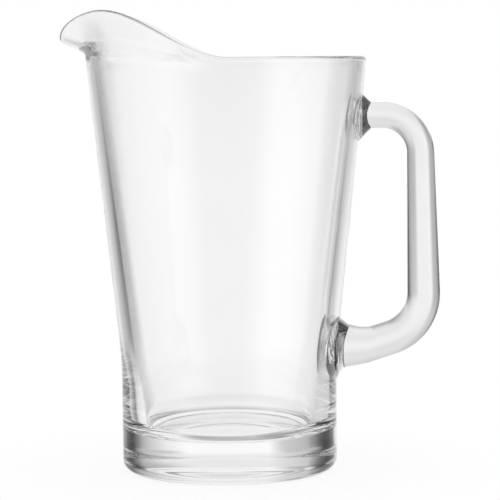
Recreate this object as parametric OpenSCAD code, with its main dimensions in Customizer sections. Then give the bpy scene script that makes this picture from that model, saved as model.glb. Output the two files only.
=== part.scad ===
// Beer pitcher of clear glass: a tapered vessel on a heavy foot, with a raised
// spout and a bent glass handle that is fused to the wall at two flared pads.
// The origin is the middle of the underside, on the vessel's axis.
// The spout points along -X and the handle along +X.

/* [Vessel] */
// Outer diameter at the rim
rim_d = 138; // [126:0.5:152]
// Height of the rim above the table
rim_h = 204.5; // [190:0.5:225]
// Outer diameter of the straight foot
foot_d = 106.8; // [98:0.2:114]
// Height at which the straight foot turns into the tapered wall
bend_h = 55.8; // [46:0.2:66]
// Radius of the soft turn between the foot and the tapered wall
bend_r = 230; // [120:5:300]
// Radius of the rounded bottom edge
foot_edge_r = 5.8; // [4:0.2:8]
// Width of the flat ring that the pitcher stands on
rest_ring_w = 2; // [1:0.2:4]
// Depth of the hollow under the foot, inside that ring
punt_depth = 5.8; // [3:0.2:7]
// Flatness of that hollow's middle, where 2 is a parabola
punt_power = 3.4; // [2:0.1:4]
// Wall thickness at the rim
rim_wall = 4.4; // [3.8:0.1:5.6]
// Wall thickness at the turn above the foot
low_wall = 6.7; // [5:0.1:8.5]
// Height of the bottom of the round between the floor and the wall inside
floor_h = 19; // [17:0.2:24]
// Radius of that round
floor_round_r = 9; // [5:0.1:11]
// Slope of the floor where it leaves that round and sinks towards its middle
floor_lean = 5; // [3:0.5:10]
// Depth of the middle of the floor below its edge
floor_sink = 0.3; // [0.2:0.1:0.6]

/* [Spout] */
// Height of the highest part of the lip above the rim
crest_rise = 23.6; // [18:0.1:30]
// Distance from the axis, along the spout, at which the lip is highest
crest_x = 60.2; // [54:0.1:64]
// Height of the middle of the pouring lip above the rim
pour_rise = 10.4; // [9:0.1:14]
// Angle of the pouring lip from upright
pour_angle = 62.8; // [45:0.1:65]
// Share of the spout's height that its outward curve takes up
throat_share = 0.4; // [0.3:0.05:0.7]
// Height above the rim's round at which that curve starts, in the spout's middle
throat_lift = 2.5; // [0:0.1:3.5]
// Half angle of the beak, seen from above
beak_angle = 17.7; // [12:0.1:20]
// Bluntness of the beak, where 2 is a bell curve and less is more pointed
beak_power = 1.6; // [1.4:0.05:2.2]
// Half angle of the dip in the lip, seen from above
dip_angle = 16; // [11:0.1:19]
// Bluntness of that dip
dip_power = 1.55; // [1.4:0.05:2.2]
// Thickness of the glass at the lip
lip_t = 2.5; // [2:0.1:3.6]
// Rise of the lip over which its glass thins from the rim's thickness
thin_rise = 8; // [4:0.5:10]
// Depth of the mould line below the rim, where the spout's own glass begins
seat_drop = 8; // [7:0.5:12]
// Step at that mould line
mould_step = 0.12; // [0.08:0.01:0.2]

/* [Handle] */
// Depth of the upper arm's centre line below the rim
upper_arm_drop = 29.3; // [24:0.1:44]
// Height of the middle of the lower weld above the wall's turn
lower_weld_rise = 4.9; // [-2:0.1:18]
// Length of the lower arm's level end
lower_level_len = 8; // [4:0.5:12]
// Slope of the rest of the lower arm, rising away from the wall
lower_arm_slope = 18; // [5:0.5:25]
// Distance from the rim out to the grip's centre line, at the top
grip_reach = 26.3; // [23:0.1:40]
// How much further out the grip's centre line is at the bottom
grip_lean = 2; // [0:0.1:5]
// Centre-line radius of the upper bend
upper_bend_r = 18.8; // [12:0.1:21]
// Centre-line radius of the lower bend
lower_bend_r = 23.5; // [14:0.1:27]
// Thickness of the bar at its upper end
bar_t_top = 12.9; // [11:0.1:16]
// Thickness of the bar along the lower arm
bar_t_low = 16.9; // [14:0.1:20]
// Thickness of the bar where it meets the lower weld
bar_t_weld = 21.5; // [17:0.1:24]
// Width of the bar at its upper end
bar_w_top = 16; // [13:0.5:22]
// Width of the bar along the lower arm
bar_w_low = 18.5; // [14:0.5:24]
// Width of the bar where it meets the lower weld
bar_w_weld = 22; // [17:0.5:28]
// How late the bar swells towards the lower weld, where 1 is evenly
weld_swell = 1.1; // [1:0.05:2]
// Squareness of the bar's section, where 2 is an ellipse
bar_square = 2.1; // [2:0.1:4]

/* [Welds] */
// Length of the upper pad, from the wall to the bar
upper_pad_len = 5.2; // [3:0.1:8]
// Length of the lower pad, from the wall to the bar
lower_pad_len = 6; // [3:0.1:8]
// How much taller each pad is at the wall than the bar, above and below
pad_flare = 5.2; // [3:0.1:7]
// How much wider each pad is at the wall than the bar, on each side
pad_side_flare = 2.6; // [1:0.1:5]
// Hollowness of the pads' flare, where 1 is straight
pad_hollow = 1.1; // [1:0.05:2]

/* [Hidden] */
$fn = 96;
glass = [0.87, 0.94, 0.93, 0.55];

rim_r = rim_d / 2;
foot_r = foot_d / 2;
rest_r_in = foot_r - foot_edge_r - rest_ring_w;
rim_round = rim_wall / 2;
// Height from the turn above the foot to the start of the rim's round
taper_h = rim_h - rim_round - bend_h;
// Slopes of the outer and the inner wall from upright, and the soft turn's half length
taper = atan((rim_r - foot_r) / taper_h);
turn_len = bend_r * tan(taper / 2);
inner_low_r = foot_r - low_wall;
inner_taper = atan((rim_r - rim_wall - inner_low_r) / taper_h);
floor_round_z = floor_h + floor_round_r;
floor_round_x = inner_r(floor_round_z) - floor_round_r / cos(inner_taper);
// Edge of the floor's shallow bowl, and its flatness, which keeps the slope unbroken
bowl_r = floor_round_x + floor_round_r * sin(floor_lean);
bowl_z = floor_round_z - floor_round_r * cos(floor_lean);
bowl_power = bowl_r * tan(floor_lean) / floor_sink;

// Numbers of steps along the round stretches
edge_steps = 8;
turn_steps = 6;
bowl_steps = 10;
lip_steps = 6;
throat_steps = 5;
crest_steps = 72;
bend_steps = 14;
bar_sides = 32;
weld_steps = 4;
pad_steps = 5;
// How far the pads' raw ends and the spout's root run into the wall before they are cut or joined
pad_overrun = 1;
pad_root = 5;
crest_root = 3;
// Half angle of the spout's glass, just over a quarter turn, so that its ends lie inside the rim
crest_span = 92;
// Length of straight wall left below the rim's round where the lip doesn't rise
crest_stub = 3;

// Radius of the outer wall's straight taper at height z
function taper_r(z) = foot_r + (z - bend_h) * tan(taper);
// Radius of the outer wall at height z, with its soft turn
function turn_z() = bend_h - turn_len;
function turn_angle(z) = asin((z - turn_z()) / bend_r);
function wall_r(z) =
    z <= turn_z() ? foot_r
    : z >= turn_z() + bend_r * sin(taper) ? taper_r(z)
    : foot_r + bend_r * (1 - cos(turn_angle(z)));
// Radius of the inner wall at height z
function inner_r(z) = inner_low_r + (z - bend_h) * tan(inner_taper);

function arc(centre, r, from, to, steps) =
    [for (i = [0:steps]) let (a = from + (to - from) * i / steps) centre + r * [cos(a), sin(a)]];

// Half outlines of the vessel: the hollow underside, the outer wall and the inside
function underside() =
    [for (i = [0:bowl_steps]) let (s = i / bowl_steps)
        [rest_r_in * s, punt_depth * (1 - pow(s, punt_power))]];
function outside() = concat(
    arc([foot_r - foot_edge_r, foot_edge_r], foot_edge_r, -90, 0, edge_steps),
    arc([foot_r + bend_r, turn_z()], bend_r, 180, 180 - taper, turn_steps));
function rim_top() = arc([rim_r - rim_round, rim_h - rim_round], rim_round, 0, 180, edge_steps);
function inside() = concat(
    arc([floor_round_x, floor_round_z], floor_round_r, -inner_taper, floor_lean - 90, edge_steps),
    [for (i = [1:bowl_steps]) let (s = 1 - i / bowl_steps)
        [bowl_r * s, bowl_z - floor_sink * (1 - pow(s, bowl_power))]]);

// The vessel with nothing hollowed out, which the pads are cut against
module filled_vessel() {
    rotate_extrude()
        polygon(concat([[0, 0]], outside(), [[rim_r, rim_h - rim_round], [0, rim_h - rim_round]]));
}

// Skin between rings of equal length, which turn clockwise seen along the run, closed at both ends
module ring_skin(rings) {
    count = len(rings);
    sides = len(rings[0]);
    points = [for (ring = rings) each ring];
    walls = [for (i = [0:count - 2], j = [0:sides - 1])
        let (k = (j + 1) % sides, a = i * sides, b = a + sides)
        each [[a + j, b + k, b + j], [a + j, a + k, b + k]]];
    start_cap = [for (j = [sides - 1:-1:0]) j];
    end_cap = [for (j = [0:sides - 1]) (count - 1) * sides + j];
    polyhedron(points, concat(walls, [start_cap, end_cap]), convexity = 6);
}

// Spout: a crest that rises from the rim, with a beak leaning out in the middle
function smooth(t) = let (s = min(1, max(0, t))) s * s * (3 - 2 * s);
function bell(a, half, power) = exp(-pow(abs(a) / half, power));
function drawn(a) = bell(a, beak_angle, beak_power);
function lip_rise(a) =
    crest_rise * smooth(cos(a) * rim_r / crest_x)
    - (crest_rise - pour_rise) * bell(a, dip_angle, dip_power)
    - mould_step;
function lean(a) = taper + (pour_angle - taper) * drawn(a);

// Heights of the mould line and of the spout's root below it
seat_z = rim_h - seat_drop;
root_z = seat_z - crest_root;
// Thickness of the spout's glass where it leaves the wall
root_t = rim_wall - 2 * mould_step;
function across(tilt) = [cos(tilt), -sin(tilt)];

// Section of the crest at angle a from the spout's middle, as radius and height
function crest_section(a) =
    let (
        tilt = lean(a),
        free = smooth((lip_rise(a) + mould_step) / thin_rise),
        edge_t = root_t + (lip_t - root_t) * free,
        start_z = rim_h - rim_round - crest_stub * (1 - free) + throat_lift * drawn(a),
        start = [taper_r(start_z) - mould_step, start_z],
        lip_z = rim_h + lip_rise(a) - edge_t / 2,
        stride = throat_share * (lip_z - start_z) / throat_steps,
        steps = [for (i = [0:throat_steps]) i / throat_steps],
        tilts = [for (s = steps) taper + (tilt - taper) * smooth(s)],
        outer = [for (i = [0:throat_steps]) start + stride * climb(tilts, i)],
        inner = [for (i = [0:throat_steps])
            outer[i] - (root_t + (edge_t - root_t) * steps[i]) * across(tilts[i])],
        bend_end = (outer[throat_steps] + inner[throat_steps]) / 2,
        lip = bend_end + (lip_z - bend_end[1]) * [tan(tilt), 1],
        root = [taper_r(root_z) - mould_step, root_z]
    )
    concat(
        [root], outer,
        arc(lip, edge_t / 2, -tilt, 180 - tilt, lip_steps),
        [for (i = [throat_steps:-1:0]) inner[i]], [root - root_t * across(taper)]);
// Sum of unit steps along the tilts, up to number i
function climb(tilts, i) =
    i == 0 ? [0, 0]
    : let (t = (tilts[i - 1] + tilts[i]) / 2) climb(tilts, i - 1) + [sin(t), cos(t)];

module spout_crest() {
    ring_skin([for (i = [0:crest_steps])
        let (a = crest_span * (1 - 2 * i / crest_steps))
        [for (p = crest_section(a)) [-p[0] * cos(a), p[0] * sin(a), p[1]]]]);
}

// Room above the mould line, on the spout's side, that the crest fills instead of the plain rim
module crest_seat() {
    translate([-rim_d, -rim_d, seat_z])
        cube([rim_d, 2 * rim_d, rim_h]);
}

module body() {
    color(glass) {
        difference() {
            rotate_extrude()
                polygon(concat(underside(), outside(), rim_top(), inside()));
            crest_seat();
        }
        spout_crest();
    }
}

// Handle: a bar swept along two arms and a grip, as [x, z, heading] stations
upper_arm_z = rim_h - upper_arm_drop;
lower_weld_z = bend_h + lower_weld_rise;
grip_x = rim_r + grip_reach;
upper_end = [wall_r(upper_arm_z) + upper_pad_len, upper_arm_z];
lower_end = [wall_r(lower_weld_z) + lower_pad_len, lower_weld_z];
waist = lower_end + [lower_level_len, 0];
upper_corner = [grip_x, upper_arm_z];
lower_corner_x = grip_x + grip_lean;
lower_corner = [lower_corner_x, waist[1] + (lower_corner_x - waist[0]) * tan(lower_arm_slope)];

function heading(from, to) = atan2(to[1] - from[1], to[0] - from[0]);
// Stations round a right-hand corner between two headings
function bend(corner, r, head_in, head_out) =
    let (
        reach = r * tan((head_in - head_out) / 2),
        centre = corner - reach * [cos(head_in), sin(head_in)] + r * [sin(head_in), -cos(head_in)]
    )
    [for (i = [0:bend_steps])
        let (h = head_in + (head_out - head_in) * i / bend_steps)
        [each centre + r * [-sin(h), cos(h)], h]];

grip_heading = heading(upper_corner, lower_corner);
inward = -180;
arm_heading = inward + lower_arm_slope;
stations = concat(
    [[each upper_end, 0]],
    bend(upper_corner, upper_bend_r, 0, grip_heading),
    bend(lower_corner, lower_bend_r, grip_heading, arm_heading),
    [for (i = [0:weld_steps]) let (s = i / weld_steps)
        [each waist + (lower_end - waist) * s, (arm_heading + inward + (inward - arm_heading) * s) / 2]]);
last = len(stations) - 1;
waist_i = last - weld_steps;

function step_len(i) = norm([stations[i][0] - stations[i - 1][0], stations[i][1] - stations[i - 1][1]]);
function run(i) = i == 0 ? 0 : run(i - 1) + step_len(i);
waist_run = run(waist_i);
top_size = [bar_t_top, bar_w_top];
low_size = [bar_t_low, bar_w_low];
weld_size = [bar_t_weld, bar_w_weld];
// Thickness and width of the bar at station i
function bar_size(i) =
    i < waist_i ? top_size + (low_size - top_size) * smooth(run(i) / waist_run)
    : low_size + (weld_size - low_size) * pow((i - waist_i) / weld_steps, weld_swell);

// Ring of the bar's rounded section, of a thickness across the heading and a width along Y
function soft(v) = sign(v) * pow(abs(v), 2 / bar_square);
function bar_ring(station, size) =
    [for (j = [0:bar_sides - 1])
        let (a = 360 * j / bar_sides, u = size[0] / 2 * soft(cos(a)), v = size[1] / 2 * soft(sin(a)))
        [station[0] - u * sin(station[2]), v, station[1] + u * cos(station[2])]];

module handle() {
    color(glass)
        ring_skin([for (i = [0:last]) bar_ring(stations[i], bar_size(i))]);
}

// Pad that flares from the bar's end to the wall, cut to the wall's own curve
module pad(end, pad_len, size) {
    flared = pad_len + pad_overrun;
    dists = concat([for (i = [0:pad_steps]) flared * i / pad_steps], [pad_len + pad_root]);
    difference() {
        ring_skin([for (d = dists)
            let (grow = 2 * pow(min(d, flared) / pad_len, pad_hollow))
            bar_ring([end[0] - d, end[1], inward], size + grow * [pad_flare, pad_side_flare])]);
        filled_vessel();
    }
}

module upper_weld() {
    color(glass)
        pad(upper_end, upper_pad_len, top_size);
}

module lower_weld() {
    color(glass)
        pad(lower_end, lower_pad_len, weld_size);
}

body();
handle();
upper_weld();
lower_weld();
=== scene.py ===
# %% [markdown]
# # A clear glass beer pitcher
# The real pitcher is pressed or blown in a mould: a tapered vessel on a heavy solid foot, whose lip is drawn
# out into a spout while the glass is hot. The handle is a second gather of glass, bent into a loop and
# pressed onto the wall, where it spreads into two flared pads.
# We keep the sizes of the CAD part, in metres, and make the curves finer, because glass shows every facet
# twice: on its surface, and again in what is seen through it.

import math

import bmesh
import bpy
from mathutils import Matrix


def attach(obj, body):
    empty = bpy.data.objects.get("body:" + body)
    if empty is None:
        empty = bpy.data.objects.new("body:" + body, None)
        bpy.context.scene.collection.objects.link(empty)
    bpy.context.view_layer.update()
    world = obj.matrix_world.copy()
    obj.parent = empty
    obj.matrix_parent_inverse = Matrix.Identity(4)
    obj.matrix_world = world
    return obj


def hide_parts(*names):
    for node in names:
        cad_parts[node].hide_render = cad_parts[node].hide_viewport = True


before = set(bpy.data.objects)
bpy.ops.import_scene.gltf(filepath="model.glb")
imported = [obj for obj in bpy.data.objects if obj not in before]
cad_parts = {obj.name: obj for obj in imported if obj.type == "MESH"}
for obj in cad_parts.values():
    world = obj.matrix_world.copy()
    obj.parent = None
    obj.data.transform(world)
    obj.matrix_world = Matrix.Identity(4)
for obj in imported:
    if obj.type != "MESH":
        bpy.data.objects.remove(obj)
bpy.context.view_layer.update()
scene = bpy.context.scene
print("CAD nodes:", sorted(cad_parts))

# %% [markdown]
# The photograph was taken from rim height with a long lens, a little under five degrees down, so the rim is
# almost a straight line. The handle takes up the right side, so the camera stands a centimetre to the right
# of the axis, and the picture leans by half a degree.
# A camera can be aimed by eye. Here its place, aim and lens were fitted to the edges in the photograph, so
# that the render can be laid over it.

# %% Camera
mm = 0.001
eye = (10.9 * mm, -1154.3 * mm, 204.5 * mm)
look_down, picture_lean = 4.73, -0.532

camera = bpy.data.objects.new("camera", bpy.data.cameras.new("camera"))
scene.collection.objects.link(camera)
scene.camera = camera
camera.data.sensor_width = 36
camera.data.lens = 168.19
camera.matrix_world = (
    Matrix.Translation(eye)
    @ Matrix.Rotation(math.radians(90 - look_down), 4, "X")
    @ Matrix.Rotation(math.radians(picture_lean), 4, "Z")
)
print("camera distance", round(camera.location.length, 3), "m")

# %% [markdown]
# The wall is a straight cone that turns into the upright foot through one long, soft bend.
# A cone joined to a cylinder and bevelled would look alike, but the spout and the handle have to find the
# wall at any height. So its radius is written as a function of the height, and every section asks for it.

# %% Wall
rim_r = 69 * mm
rim_h = 204.5 * mm
rim_wall = 4.4 * mm
foot_r = 53.4 * mm
low_wall = 6.7 * mm
bend_h = 55.8 * mm
bend_r = 230 * mm

rim_round = rim_wall / 2
taper_h = rim_h - rim_round - bend_h
taper = math.atan((rim_r - foot_r) / taper_h)
turn_z = bend_h - bend_r * math.tan(taper / 2)
inner_low_r = foot_r - low_wall
inner_slope = (rim_r - rim_wall - inner_low_r) / taper_h


def wall_r(z):
    """Radius of the outer wall at height z."""
    if z <= turn_z:
        return foot_r
    if z >= turn_z + bend_r * math.sin(taper):
        return foot_r + (z - bend_h) * math.tan(taper)
    return foot_r + bend_r * (1 - math.cos(math.asin((z - turn_z) / bend_r)))


def inner_r(z):
    """Radius of the inner wall at height z."""
    return inner_low_r + (z - bend_h) * inner_slope


print("wall taper", round(math.degrees(taper), 2), "degrees")

# %% [markdown]
# The lip rises out of the plain rim on the spout's side, thins as it rises, dips in the middle and leans out
# there into a beak. A glassmaker pulls it with a tool while the rim is soft. Just below, the mould leaves a
# faint ridge where its ring ended.
# Sculpting the rim by hand would leave lumps. So we work out the wall's section at any angle from the
# spout's middle, as pairs of radius and height. It always has the same number of points, so neighbouring
# sections join into clean rows.

# %% Parts of a section
throat_share = 0.4  # how much of the lip's height the turn from the wall takes up
throat_rows = 20


def between(a, b, steps):
    """Points from a towards b, without b."""
    return [tuple(p + (q - p) * i / steps for p, q in zip(a, b)) for i in range(steps)]


def arc(centre, r, start, end, steps):
    """Points along an arc in the section, end included."""
    turns = [start + (end - start) * i / steps for i in range(steps + 1)]
    return [(centre[0] + r * math.cos(t), centre[1] + r * math.sin(t)) for t in turns]


def smooth(t):
    """Share that leaves 0 and reaches 1 without a kink."""
    s = min(1.0, max(0.0, t))
    return s * s * (3 - 2 * s)


def bell(a, half, power):
    """Share that is 1 at the spout's middle and has fallen to about a third at the half angle."""
    return math.exp(-(abs(a / half) ** power))


def throat(start_z, lip_z, tilt, edge_t):
    """Outer and inner points where the wall turns from its taper to the lip's tilt and thins."""
    stride = throat_share * (lip_z - start_z) / throat_rows
    spot, last = (wall_r(start_z), start_z), taper
    outer, inner = [], []
    for i in range(throat_rows + 1):
        s = i / throat_rows
        now = taper + (tilt - taper) * smooth(s)
        if i:
            mid = (last + now) / 2
            spot = (spot[0] + stride * math.sin(mid), spot[1] + stride * math.cos(mid))
        thick = rim_wall + (edge_t - rim_wall) * s
        outer.append(spot)
        inner.append((spot[0] - thick * math.cos(now), spot[1] + thick * math.sin(now)))
        last = now
    return outer, inner


print("throat:", throat_rows, "rows")

# %% [markdown]
# Each part of the spout has its own size and its own spread round the rim: the two crests, the dip between
# them, the beak and the mould's ridge. Changing one of them leaves the others as they are.

# %% Section of the rim and the spout
crest_rise, crest_x = 23.6 * mm, 60.2 * mm  # the crests' height, and how far out it is reached
pour_rise, dip_angle, dip_power = 10.4 * mm, math.radians(16), 1.55
pour_angle, beak_angle, beak_power = math.radians(62.8), math.radians(17.7), 1.6
lip_t, thin_rise = 2.5 * mm, 8 * mm  # the thinned lip, and the rise that it takes to thin
crest_stub, throat_lift = 3 * mm, 2.5 * mm  # how the throat's start sinks at the rim and lifts at the beak
mould_drop, mould_half, mould_step = 1.4 * mm, 0.4 * mm, 0.12 * mm
mould_angle, mould_power = math.radians(48), 4
zone_drop = 34 * mm  # how far below the rim the plain wall takes over
stub_rows, reach_rows, lip_rows = 8, 6, 16
zone_z = rim_h - zone_drop


def rim_section(a):
    """Section at angle a from the spout's middle: up the outside, over the lip and down the inside."""
    crest = crest_rise * smooth(math.cos(a) * rim_r / crest_x)
    rise = crest - (crest_rise - pour_rise) * bell(a, dip_angle, dip_power)
    drawn = bell(a, beak_angle, beak_power)
    tilt = taper + (pour_angle - taper) * drawn
    free = smooth(rise / thin_rise)
    edge_t = rim_wall + (lip_t - rim_wall) * free
    moulded = bell(a, mould_angle, mould_power)
    start_z = rim_h - rim_round - crest_stub * (1 - free) + throat_lift * max(drawn, moulded / 2)
    line_z = min(rim_h - mould_drop, start_z - mould_half)
    ridge_z = line_z - mould_half
    ridge = [(wall_r(ridge_z), ridge_z), (wall_r(line_z) + mould_step * moulded, line_z)]
    lip_z = rim_h + rise - edge_t / 2
    outer, inner = throat(start_z, lip_z, tilt, edge_t)
    mid_r, mid_z = ((p + q) / 2 for p, q in zip(outer[-1], inner[-1]))
    lip_r = mid_r + (lip_z - mid_z) * math.tan(tilt)
    lip = arc((lip_r, lip_z), edge_t / 2, -tilt, math.pi - tilt, lip_rows)
    return (
        between((wall_r(zone_z), zone_z), ridge[0], stub_rows) + ridge + outer[:-1]
        + between(outer[-1], lip[0], reach_rows) + lip[:-1]
        + between(lip[-1], inner[-1], reach_rows) + inner[:0:-1]
        + between(inner[0], (inner_r(zone_z), zone_z), stub_rows)
    )


rim_rows = rim_section(math.pi)
print("rim:", len(rim_rows), "points in a section")

# %% [markdown]
# The rest of the vessel is the same all round, so half an outline is enough: from the middle of the dished
# underside, over the ring that it stands on, round the foot and up the wall, and inside from the wall, round
# the floor's edge and to the middle of the floor. The solid glass lies between the two.

# %% Outline of the vessel
foot_edge_r = 5.8 * mm
rest_ring_w = 2 * mm
punt_depth, punt_power, punt_rows = 5.8 * mm, 3.4, 36
floor_h, floor_round_r = 19 * mm, 9 * mm
floor_sink, floor_lean, floor_rows = 0.3 * mm, math.radians(5), 32
ring_rows, edge_rows, foot_rows, bend_rows, wall_rows = 4, 16, 14, 16, 24
inside_rows, round_rows = 30, 18

rest_r = foot_r - foot_edge_r - rest_ring_w
punt_shares = [i / punt_rows for i in range(punt_rows)]
underside = [(rest_r * s, punt_depth * (1 - s ** punt_power)) for s in punt_shares]
foot = (
    between((rest_r, 0), (foot_r - foot_edge_r, 0), ring_rows)
    + arc((foot_r - foot_edge_r, foot_edge_r), foot_edge_r, -math.pi / 2, 0, edge_rows)[:-1]
    + between((foot_r, foot_edge_r), (foot_r, turn_z), foot_rows)
)
wall_bend = arc((foot_r + bend_r, turn_z), bend_r, math.pi, math.pi - taper, bend_rows)
wall = wall_bend[:-1] + between(wall_bend[-1], (wall_r(zone_z), zone_z), wall_rows)

inner_taper = math.atan(inner_slope)
round_z = floor_h + floor_round_r
round_x = inner_r(round_z) - floor_round_r / math.cos(inner_taper)
floor_round = arc((round_x, round_z), floor_round_r, -inner_taper, floor_lean - math.pi / 2, round_rows)
bowl_r, bowl_z = floor_round[-1]
bowl_power = bowl_r * math.tan(floor_lean) / floor_sink
bowl_shares = [1 - i / floor_rows for i in range(floor_rows + 1)]
bowl = [(bowl_r * s, bowl_z - floor_sink * (1 - s ** bowl_power)) for s in bowl_shares]

lower = underside + foot + wall
inside = between((inner_r(zone_z), zone_z), floor_round[0], inside_rows) + floor_round[:-1] + bowl
print("outline:", len(lower), "points outside,", len(inside), "points inside")

# %% [markdown]
# The vessel is turned, as on a lathe: spin carries the outline once round the axis and merges the last
# column with the first. Each point keeps the number of its row, so the rows of the rim can then be moved to
# the section of their own angle. That draws out the spout, as the glassmaker does after the mould.

# %% Vessel
columns = 288
merge_gap = 0.001 * mm

vessel = bmesh.new()
row = vessel.verts.layers.int.new("row")
chain = [vessel.verts.new((-r, 0, z)) for r, z in lower + rim_rows + inside]
for i, v in enumerate(chain):
    v[row] = i
edges = [vessel.edges.new(pair) for pair in zip(chain, chain[1:])]
bmesh.ops.spin(
    vessel, geom=chain + edges, cent=(0, 0, 0), axis=(0, 0, 1),
    angle=2 * math.pi, steps=columns, use_merge=True,
)
bmesh.ops.remove_doubles(vessel, verts=vessel.verts, dist=merge_gap)
sections = {}
for v in vessel.verts:
    i = v[row] - len(lower)
    if 0 <= i < len(rim_rows):
        a = math.atan2(v.co.y, -v.co.x)
        key = round(a, 5)
        if key not in sections:
            sections[key] = rim_section(a)
        r, z = sections[key][i]
        v.co = (-r * math.cos(a), r * math.sin(a), z)
bmesh.ops.recalc_face_normals(vessel, faces=vessel.faces)
print("vessel:", len(vessel.verts), "points,", len(vessel.faces), "faces,", columns, "columns")

# %% [markdown]
# The handle is one gather of glass: a pad at the wall, an arm, a grip, a second arm and a second pad.
# A curve with a bevel could carry one section along it, but the real bar swells towards its lower end. So we
# list stations along the path, each with its place and its heading, and give every one its own size.

# %% Path of the handle
upper_z, lower_z = 175.2 * mm, 60.7 * mm
upper_pad, lower_pad = 5.2 * mm, 6 * mm
grip_x, grip_lean, arm_slope = 95.3 * mm, 2 * mm, math.radians(18)
upper_bend, lower_bend = 18.8 * mm, 23.5 * mm
arm_steps, bend_steps, grip_steps = 4, 28, 16
level_end, waist_run, waist_steps = 8 * mm, 6 * mm, 18

upper_end = (wall_r(upper_z) + upper_pad, upper_z)
lower_end = (wall_r(lower_z) + lower_pad, lower_z)
waist = (lower_end[0] + level_end, lower_z)
upper_corner = (grip_x, upper_z)
lower_x = grip_x + grip_lean
lower_corner = (lower_x, lower_z + (lower_x - waist[0]) * math.tan(arm_slope))
grip_heading = math.atan2(lower_corner[1] - upper_corner[1], grip_lean)
arm_heading = arm_slope - math.pi
arm_end = (
    waist[0] + waist_run * math.cos(arm_slope),
    waist[1] + waist_run * math.sin(arm_slope),
    arm_heading,
)


def bend(corner, r, head_in, head_out):
    """Stations round a right-hand corner, as x, z and heading."""
    reach = r * math.tan((head_in - head_out) / 2)
    cx = corner[0] - reach * math.cos(head_in) + r * math.sin(head_in)
    cz = corner[1] - reach * math.sin(head_in) - r * math.cos(head_in)
    heads = [head_in + (head_out - head_in) * i / bend_steps for i in range(bend_steps + 1)]
    return [(cx - r * math.sin(h), cz + r * math.cos(h), h) for h in heads]


top_bend = bend(upper_corner, upper_bend, 0, grip_heading)
foot_bend = bend(lower_corner, lower_bend, grip_heading, arm_heading)
bar_path = (
    between((*upper_end, 0), top_bend[0], arm_steps) + top_bend[:-1]
    + between(top_bend[-1], foot_bend[0], grip_steps) + foot_bend[:-1]
    + between(foot_bend[-1], arm_end, arm_steps)
)
print("path:", len(bar_path), "stations, from pad to lower arm")

# %% [markdown]
# The bar grows evenly along its path. Near the wall the lower arm has a waist, where it levels out in a soft
# curve and swells into the weld. A pad flares from the bar to the wall and runs on into it, so that the two
# shapes cross cleanly when they are fused.

# %% Sizes along the handle
top_size = (12.9 * mm, 16 * mm)
low_size = (16.9 * mm, 18.5 * mm)
weld_size, weld_power = (21.5 * mm, 22 * mm), 1.8
pad_flare, pad_side_flare, pad_hollow, pad_rows = 5.2 * mm, 2.6 * mm, 1.1, 12
pad_overrun, upper_root, lower_root = 1 * mm, 3.2 * mm, 4.5 * mm


def blend(a, b, share):
    """Point or size that lies a share of the way from a to b."""
    return tuple(p + (q - p) * share for p, q in zip(a, b))


def pad_stations(end, heading, length, size, root):
    """Stations of a pad, from the bar's end to its root inside the wall."""
    found = []
    flared = length + pad_overrun
    for d in [flared * i / pad_rows for i in range(1, pad_rows + 1)] + [length + root]:
        grow = 2 * (min(d, flared) / length) ** pad_hollow
        grown = (size[0] + pad_flare * grow, size[1] + pad_side_flare * grow)
        found.append(((end[0] - d, end[1], heading), grown))
    return found


runs = [0.0]
for p, q in zip(bar_path, bar_path[1:] + [arm_end]):
    runs.append(runs[-1] + math.dist(p[:2], q[:2]))
stations = [(p, blend(top_size, low_size, smooth(d / runs[-1]))) for p, d in zip(bar_path, runs)]
for i in range(waist_steps + 1):
    s = i / waist_steps
    before, after = blend(arm_end[:2], waist, s), blend(waist, lower_end, s)
    heading = math.atan2(after[1] - before[1], after[0] - before[0]) if i < waist_steps else -math.pi
    stations.append(((*blend(before, after, s), heading), blend(low_size, weld_size, s ** weld_power)))
upper_pads = pad_stations(upper_end, 0, upper_pad, top_size, upper_root)
lower_pads = pad_stations(lower_end, -math.pi, lower_pad, weld_size, lower_root)
print("bar length", round(runs[-1] / mm, 1), "mm")

# %% [markdown]
# Where the soft bar was pressed on, the line between bar and pad isn't flat. It bows towards the wall at its
# near and far sides, and at the lower pad its bottom hangs back to the wall too, where the glass sagged.
# Bending each ring near the wall by a share that fades along the bar gives that crescent.

# %% Rings of the handle
upper_bow, lower_bow, lower_drop, bow_run = 2.4 * mm, 2.2 * mm, 3 * mm, 7 * mm
bar_square, bar_sides = 2.1, 72  # 2 is a plain ellipse, and more than 2 has squarer corners


def sagged(station, end, pad, bow, drop):
    """Station with its ring's bow and drop, which are largest at the bar's end."""
    x, z, heading = station
    away = x - end[0]
    share = smooth(1 - away / bow_run) if away > 0 else max(0, 1 + away / pad)
    return x, z, heading, bow * share, drop * share


def soft(v):
    """Sine or cosine, drawn towards the section's soft corners."""
    return math.copysign(abs(v) ** (2 / bar_square), v)


def ring_point(station, size, turn):
    """Point of a ring at an angle round the section."""
    x, z, heading, bow, drop = station
    u, v = soft(math.cos(turn)), soft(math.sin(turn))
    thick, wide = size[0] / 2, size[1] / 2
    back = bow * v * v + drop * (1 + u) / 2
    return x - u * thick * math.sin(heading) - back, wide * v, z + u * thick * math.cos(heading)


middle_z = (upper_z + lower_z) / 2
loop = []
for station, size in upper_pads[::-1] + stations + lower_pads:
    if station[1] > middle_z:
        station = sagged(station, upper_end, upper_pad, upper_bow, 0)
    else:
        station = sagged(station, lower_end, lower_pad, lower_bow, lower_drop)
    loop.append((station, size))
print("handle:", len(loop), "rings of", bar_sides)

# %% [markdown]
# The handle is pulled like the real one. Each step extrudes the open end of a tube and sets the new ring to
# the next station. A number kept on every point says where it sits round the section, and a mark on every
# face says which piece it belongs to. The first rings of the upper pad count as the vessel's: there the wall
# itself was drawn up into a small clear collar.

# %% Handle, pulled as one piece
VESSEL, BAR, UPPER, LOWER = range(4)
collar_rings = 4


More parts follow.
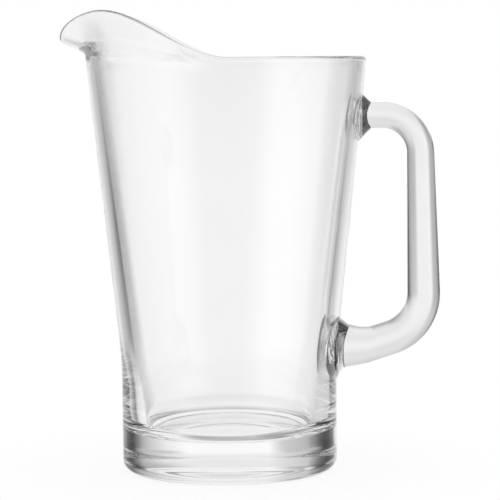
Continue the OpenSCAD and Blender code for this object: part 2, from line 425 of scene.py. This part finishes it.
def kind_of(step):
    """Piece that the faces of this step belong to."""
    if step < collar_rings:
        return VESSEL
    if step < len(upper_pads):
        return UPPER
    return LOWER if step > len(loop) - 2 - len(lower_pads) else BAR


pull = bmesh.new()
around = pull.verts.layers.float.new("around")
first = bmesh.ops.create_circle(pull, cap_ends=True, segments=bar_sides, radius=1)["verts"]
for v in first:
    v[around] = math.atan2(v.co.y, v.co.x)
    v.co = ring_point(*loop[0], v[around])
open_end = list(pull.edges)
for step, (station, size) in enumerate(loop[1:]):
    made = bmesh.ops.extrude_edge_only(pull, edges=open_end)["geom"]
    for part in made:
        if isinstance(part, bmesh.types.BMVert):
            part.co = ring_point(station, size, part[around])
        elif isinstance(part, bmesh.types.BMFace):
            part.material_index = kind_of(step)
    open_end = [e for e in made if isinstance(e, bmesh.types.BMEdge) and len(e.link_faces) == 1]
bmesh.ops.contextual_create(pull, geom=open_end)
bmesh.ops.recalc_face_normals(pull, faces=pull.faces)
print("handle:", len(pull.verts), "points,", len(pull.faces), "faces")

# %% [markdown]
# Hot glass fuses: at the joint there is no surface left, only one solid. Two shapes that merely overlap
# would show a false skin inside the glass. So we unite them, and the seam appears where pad meets wall.

# %% Fuse the handle to the wall
def mesh_object(name, bm, materials=()):
    """Object in the scene, made from a bmesh that is then let go."""
    mesh = bpy.data.meshes.new(name)
    bm.to_mesh(mesh)
    bm.free()
    for m in materials:
        mesh.materials.append(m)
    made = bpy.data.objects.new(name, mesh)
    scene.collection.objects.link(made)
    return made


marks = [bpy.data.materials.new("mark_%d" % kind) for kind in (VESSEL, BAR, UPPER, LOWER)]
vessel_body = mesh_object("vessel_raw", vessel, marks)
handle_body = mesh_object("handle_raw", pull, marks)
fuse = vessel_body.modifiers.new("fuse", "BOOLEAN")
fuse.operation, fuse.solver, fuse.object = "UNION", "EXACT", handle_body
fused = bmesh.new()
fused.from_object(vessel_body, bpy.context.evaluated_depsgraph_get())
for raw in (vessel_body, handle_body):
    bpy.data.objects.remove(raw)
for m in marks:
    bpy.data.materials.remove(m)
open_edges = [e for e in fused.edges if len(e.link_faces) != 2]
print("fused:", len(fused.verts), "points,", len(fused.faces), "faces,", len(open_edges), "open edges")

# %% [markdown]
# Clear glass has no colour of its own in thin sheets. What makes it look real is the slight waviness that
# the mould and the tools leave, so a soft noise bumps the surface and varies the tint a little.
# The handle is thicker and takes up some light, and the rest of its grey tint is painted shade. In the pads
# light runs a long way along the wall before it gets out, which looks almost black, and a dark tint, painted
# shade, stands in for that.

# %% Glass
def glass(name, wave, depth, clear):
    """Glass with a gently waving surface: waves to the metre, their depth, and the light let through; its
    darkening is painted shade in the pads and partly in the handle.
    """
    made = bpy.data.materials.new(name)
    made.use_nodes = True
    nodes, links = made.node_tree.nodes, made.node_tree.links
    shader = nodes["Principled BSDF"]
    shader.inputs["Transmission Weight"].default_value = 1
    shader.inputs["IOR"].default_value = 1.5
    shader.inputs["Roughness"].default_value = 0
    place = nodes.new("ShaderNodeTexCoord")
    noise = nodes.new("ShaderNodeTexNoise")
    noise.inputs["Scale"].default_value = wave
    noise.inputs["Detail"].default_value = 1
    links.new(place.outputs["Object"], noise.inputs["Vector"])
    bump = nodes.new("ShaderNodeBump")
    bump.inputs["Strength"].default_value = 1
    bump.inputs["Distance"].default_value = depth
    links.new(noise.outputs["Fac"], bump.inputs["Height"])
    links.new(bump.outputs["Normal"], shader.inputs["Normal"])
    tint = nodes.new("ShaderNodeMix")
    tint.data_type = "RGBA"
    for socket, share in zip(("A", "B"), clear):
        tint.inputs[socket].default_value = (share, share, share, 1)
    links.new(noise.outputs["Fac"], tint.inputs["Factor"])
    links.new(tint.outputs["Result"], shader.inputs["Base Color"])
    return made


joint = bpy.data.materials.new("fused_joint")
joint.use_nodes = True
joint.node_tree.nodes["Principled BSDF"].inputs["Alpha"].default_value = 0
vessel_glass = glass("vessel_glass", 30, 0.004 * mm, (0.99, 1))
# The handle's tint is darker than the vessel's, partly for its thicker glass and partly as painted shade.
handle_glass = glass("handle_glass", 60, 0.02 * mm, (0.88, 0.94))
# Painted shade: the pads' near-black tint stands in for light that runs off along the wall.
weld_glass = glass("weld_glass", 90, 0.02 * mm, (0.03, 0.09))
print("glass:", vessel_glass.name, handle_glass.name, weld_glass.name)

# %% [markdown]
# The library keeps the vessel, the handle and the two pads as four pieces. Each is cut out of the fused
# glass by the marks on its faces and closed again. The closing faces lie inside solid glass, so they take a
# clear finish that bends no light.

# %% Cut into pieces
crease = math.radians(28)


def cut_piece(name, kind, finish, node):
    """One closed piece of the fused glass, in place of its CAD node."""
    piece = fused.copy()
    bmesh.ops.delete(piece, geom=[f for f in piece.faces if f.material_index != kind], context="FACES")
    for f in piece.faces:
        f.material_index = 0
        f.smooth = True
    rims = [e for e in piece.edges if len(e.link_faces) == 1]
    caps = bmesh.ops.holes_fill(piece, edges=rims)["faces"]
    for f in caps:
        f.material_index = 1
    bmesh.ops.triangulate(piece, faces=caps)
    bmesh.ops.recalc_face_normals(piece, faces=piece.faces)
    loose = [e for e in piece.edges if len(e.link_faces) != 2]
    made = mesh_object(name, piece, (finish, joint))
    made.data.set_sharp_from_angle(angle=crease)
    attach(made, "root")
    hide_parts(node)
    print(name, len(made.data.polygons), "faces,", len(caps), "joints,", len(loose), "loose edges")


cut_piece("vessel", VESSEL, vessel_glass, "body")
cut_piece("handle_bar", BAR, handle_glass, "handle")
cut_piece("upper_pad", UPPER, weld_glass, "upper_weld")
cut_piece("lower_pad", LOWER, weld_glass, "lower_weld")
fused.free()

# %% [markdown]
# Glass is lit from behind: a wide white screen shows through it, and black boards at both sides draw its
# edges dark. Lamps and real boards would do this too, but they would stand in the way of other views.
# So the boards are painted into the world, in rings at a few heights. A ring is a list of bearings, with 0
# behind the pitcher and -90 on the spout's side, and of the grey that is found there.

# %% Boards
dark = 0.05


def strips(back, left, right):
    """Upright strips: a screen behind, flanks that fade to black boards, and two soft lights."""
    return [
        (-180, 0.3), (-150, 0.35), (-130, 1), (-75, 0.95), (-66, dark), (-53, dark),
        (-44, 0.16 * left), (-37, 0.42 * left), (-34, 0.66 * left), (-20, 0.82 * left), (-14, back),
        (14, back), (24, 0.9 * right), (29, 0.75 * right), (35, 0.6 * right), (39, 0.45), (45, 0.25),
        (53, dark), (66, dark), (80, 0.25), (100, 0.5), (118, 1), (140, 1), (155, 0.35), (180, 0.3),
    ]


boards = {
    -70: [(-180, 0.5), (180, 0.5)],
    -45: [
        (-180, 0.1), (-110, 0.3), (-80, 0.9), (10, 0.95), (25, 0.4), (60, 0.3), (110, 0.3),
        (125, 0.8), (150, 0.8), (165, 0.1), (180, 0.1),
    ],
    -24: [
        (-180, 0.3), (-120, 0.4), (-80, 0.8), (-62, 1), (-38, 0.9), (-31, 0.3), (-24, 0.5), (-16, 0.9),
        (16, 0.9), (30, 0.85), (44, 0.8), (60, 0.7), (90, 0.9), (118, 1), (150, 1), (165, 0.4), (180, 0.3),
    ],
    -10: strips(1, 0.75, 1),
    -4: [
        (-180, 0.3), (-150, 0.35), (-130, 1), (-75, 0.95), (-66, dark), (-48, dark), (-40, 0.5), (-22, 0.55),
        (-14, 1), (14, 1), (22, 0.55), (44, 0.45), (50, dark), (66, dark), (80, 0.25), (100, 0.5), (118, 1),
        (140, 1), (155, 0.35), (180, 0.3),
    ],
    8: strips(0.85, 0.9, 0.9),
    24: [
        (-180, dark), (-53, dark), (-44, 0.16), (-40, 0.27), (-34, 0.6), (-20, 0.7), (-10, 0.85),
        (10, 0.85), (22, 0.5), (39, 0.4), (45, 0.25), (53, dark), (180, dark),
    ],
    45: [(-180, dark), (-60, 0.1), (-30, 0.6), (-15, 0.75), (15, 0.75), (30, 0.6), (60, 0.1), (180, dark)],
    72: [(-180, 1), (180, 1)],
}
print("boards at", sorted(boards), "degrees of height")

# %% [markdown]
# The world's own direction gives a bearing and a height, and each ring of boards fades into the next one
# above it. Only light that has gone through glass or been mirrored by it meets the boards. The camera sees
# plain white, and so does the table.

# %% Studio
world = bpy.data.worlds.new("studio")
scene.world = world
world.use_nodes = True
world.cycles.sampling_method = "NONE"
tree = world.node_tree


def sum_of(kind, *values):
    """Outcome of one sum in the world's nodes, from sockets or plain numbers."""
    made = tree.nodes.new("ShaderNodeMath")
    made.operation = kind
    for socket, value in zip(made.inputs, values):
        if isinstance(value, bpy.types.NodeSocket):
            tree.links.new(value, socket)
        else:
            socket.default_value = value
    return made.outputs["Value"]


def share_of(value, start, end):
    """Share of the way from start to end, held at both ends."""
    made = tree.nodes.new("ShaderNodeMapRange")
    made.inputs["From Min"].default_value = start
    made.inputs["From Max"].default_value = end
    tree.links.new(value, made.inputs["Value"])
    return made.outputs["Result"]


def ring_of_boards(bearing, stops):
    """Greys all round at one height, from pairs of bearing and grey."""
    made = tree.nodes.new("ShaderNodeValToRGB")
    stripes = made.color_ramp.elements
    while len(stripes) < len(stops):
        stripes.new(0.5)
    for stripe, (degrees, grey) in zip(stripes, stops):
        stripe.position = (degrees + 180) / 360
        stripe.color = (grey, grey, grey, 1)
    tree.links.new(bearing, made.inputs["Fac"])
    return made.outputs["Color"]


def mixed(factor, a, b):
    """Mix of two colour sockets."""
    made = tree.nodes.new("ShaderNodeMix")
    made.data_type = "RGBA"
    for socket, value in (("Factor", factor), ("A", a), ("B", b)):
        tree.links.new(value, made.inputs[socket])
    return made.outputs["Result"]


ahead = tree.nodes.new("ShaderNodeSeparateXYZ")
tree.links.new(tree.nodes.new("ShaderNodeTexCoord").outputs["Generated"], ahead.inputs["Vector"])
bearing = share_of(sum_of("ARCTAN2", ahead.outputs["X"], ahead.outputs["Y"]), -math.pi, math.pi)
lift = sum_of("ARCSINE", ahead.outputs["Z"])
heights = sorted(boards)
studio = ring_of_boards(bearing, boards[heights[0]])
for below, above in zip(heights, heights[1:]):
    climb = share_of(lift, math.radians(below), math.radians(above))
    studio = mixed(climb, studio, ring_of_boards(bearing, boards[above]))
rays = tree.nodes.new("ShaderNodeLightPath").outputs
from_glass = sum_of("MAXIMUM", rays["Is Glossy Ray"], rays["Is Transmission Ray"])
never_matt = sum_of("LESS_THAN", rays["Diffuse Depth"], 0.5)
white = tree.nodes.new("ShaderNodeRGB").outputs["Color"]
white.default_value = (1, 1, 1, 1)
seen = mixed(sum_of("MULTIPLY", from_glass, never_matt), white, studio)
tree.links.new(seen, tree.nodes["Background"].inputs["Color"])
print("studio:", len(tree.nodes), "nodes")

# %% [markdown]
# The pitcher stands on a small white table top that fades into the white around it, so only its soft shadow
# shows. A large floor would show its edge or a grey tone. The glass itself doesn't see the table.

# %% Table top
table_r = 0.16
fade_start, fade_end, table_share = 0.075, 0.155, 0.12

top = bmesh.new()
bmesh.ops.create_circle(top, cap_ends=True, segments=96, radius=table_r)
table = mesh_object("table_top", top)
table.visible_glossy = table.visible_transmission = False
paint = bpy.data.materials.new("white_table")
paint.use_nodes = True
nodes, links = paint.node_tree.nodes, paint.node_tree.links
coat = nodes["Principled BSDF"]
coat.inputs["Base Color"].default_value = (0.96, 0.96, 0.96, 1)
coat.inputs["Roughness"].default_value = 0.9
coat.inputs["Specular IOR Level"].default_value = 0
reach = nodes.new("ShaderNodeVectorMath")
reach.operation = "LENGTH"
links.new(nodes.new("ShaderNodeTexCoord").outputs["Object"], reach.inputs[0])
fade = nodes.new("ShaderNodeMapRange")
fade.interpolation_type = "SMOOTHSTEP"
fade.inputs["From Min"].default_value = fade_start
fade.inputs["From Max"].default_value = fade_end
fade.inputs["To Min"].default_value = table_share
fade.inputs["To Max"].default_value = 0
links.new(reach.outputs["Value"], fade.inputs["Value"])
links.new(fade.outputs["Result"], coat.inputs["Alpha"])
table.data.materials.append(paint)
print("table top", round(2 * table_r / mm), "mm across")

# %% [markdown]
# Light crosses many surfaces in a hollow glass, and where the renderer stops following it, it leaves black.
# So it may follow light a long way.

# %% Finish
bounces, clear_bounces = 200, 64

scene.cycles.max_bounces = bounces
scene.cycles.transmission_bounces = bounces
scene.cycles.glossy_bounces = bounces
scene.cycles.transparent_max_bounces = clear_bounces
scene.view_settings.view_transform = "Standard"
